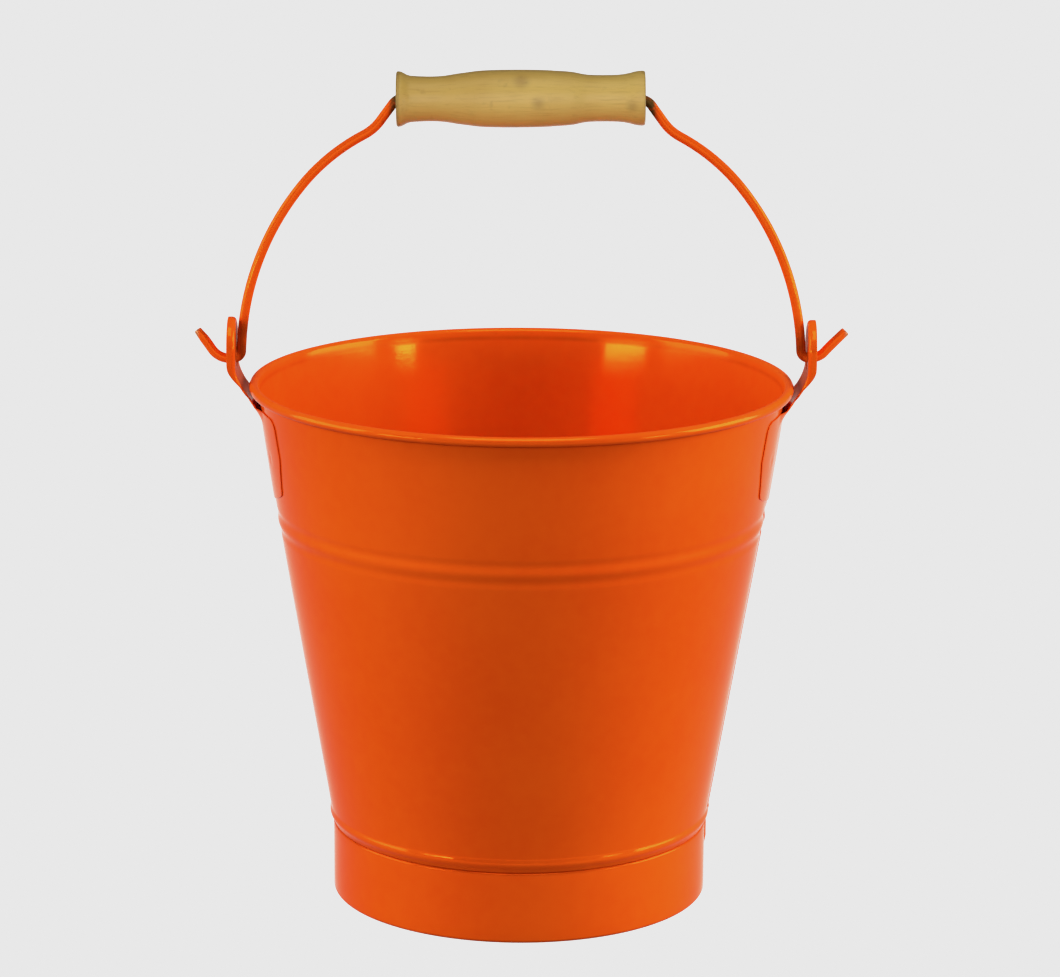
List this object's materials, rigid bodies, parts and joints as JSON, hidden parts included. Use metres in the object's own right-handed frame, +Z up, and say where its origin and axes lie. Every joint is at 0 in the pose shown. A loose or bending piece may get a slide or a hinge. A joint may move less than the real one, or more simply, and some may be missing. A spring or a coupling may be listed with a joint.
{
  "type": "sand bucket",
  "caption": "Tapered painted sheet-steel pail with a wired rim, a foot ring and a swinging wire bail that carries a turned wooden grip, for carrying sand, water or garden things.",
  "frame": {"origin": "middle of the circle that the foot ring stands on", "axes": "+Z up along the pail's axis, +X through the right ear and the tip of its hook, +Y to the back, away from the viewer"},
  "size_m": [0.2174, 0.1808, 0.2788],
  "materials": {
    "orange_paint": "glossy orange enamel on sheet steel and wire",
    "rim_wire_steel": "plain drawn wire, hidden inside the curled rim",
    "grip_wood": "turned pale wood with a thin clear varnish"
  },
  "bodies": {
    "bucket": {"body_wall": "orange_paint", "rim_wire": "rim_wire_steel", "foot_ring": "orange_paint", "base_disc": "orange_paint", "ear_left": "orange_paint", "ear_right": "orange_paint"},
    "bail": {"bail_wire": "orange_paint"},
    "grip": {"wooden_grip": "grip_wood"}
  },
  "joints": [
    {"name": "bail_swing", "type": "hinge", "parent": "bucket", "child": "bail", "pos_m": [0, 0, 0.182], "axis": [1, 0, 0], "range_deg": [-87, 87]},
    {"name": "grip_spin", "type": "hinge", "parent": "bail", "child": "grip", "pos_m": [0, 0, 0.2693], "axis": [1, 0, 0], "continuous": true}
  ]
}
